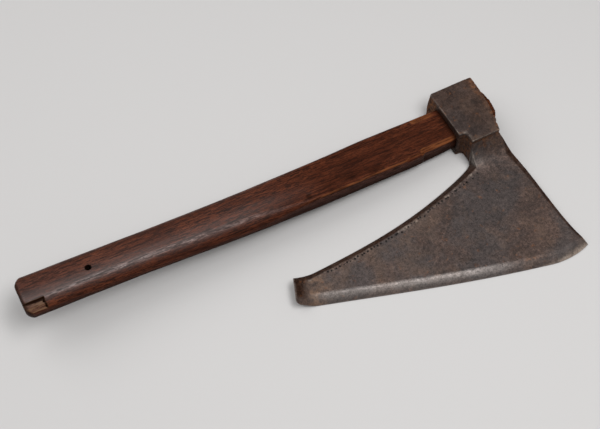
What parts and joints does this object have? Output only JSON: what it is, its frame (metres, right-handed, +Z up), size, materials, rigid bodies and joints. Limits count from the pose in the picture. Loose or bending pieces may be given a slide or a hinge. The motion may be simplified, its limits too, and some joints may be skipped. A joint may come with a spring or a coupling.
{
  "type": "broad axe",
  "caption": "Flat-backed hewing axe with a wide flaring blade, block-shaped eye and a straight wooden haft that rises clear of the blade's plane.",
  "frame": {"origin": "centre of the whole axe's box, at the level of the flat back that it lies on", "axes": "+X along the haft from the grip to the head, +Y from the cutting edge to the poll, +Z up out of the flat back"},
  "size_m": [0.5618, 0.2298, 0.0652],
  "materials": {
    "forged_iron": "dark brown patina, pitted, worn brighter on the arrises",
    "edge_steel": "dark patina with a ground and polished bevel",
    "haft_wood": "dark red-brown open-grained hardwood, hand-polished",
    "wedge_wood": "dry brown wood",
    "rusted_iron": "rusted"
  },
  "bodies": {
    "root": {"eye_socket": "forged_iron", "blade": "forged_iron", "cutting_steel": "edge_steel", "haft": "haft_wood", "wooden_wedge": "wedge_wood", "iron_cross_wedge": "rusted_iron"}
  },
  "joints": []
}
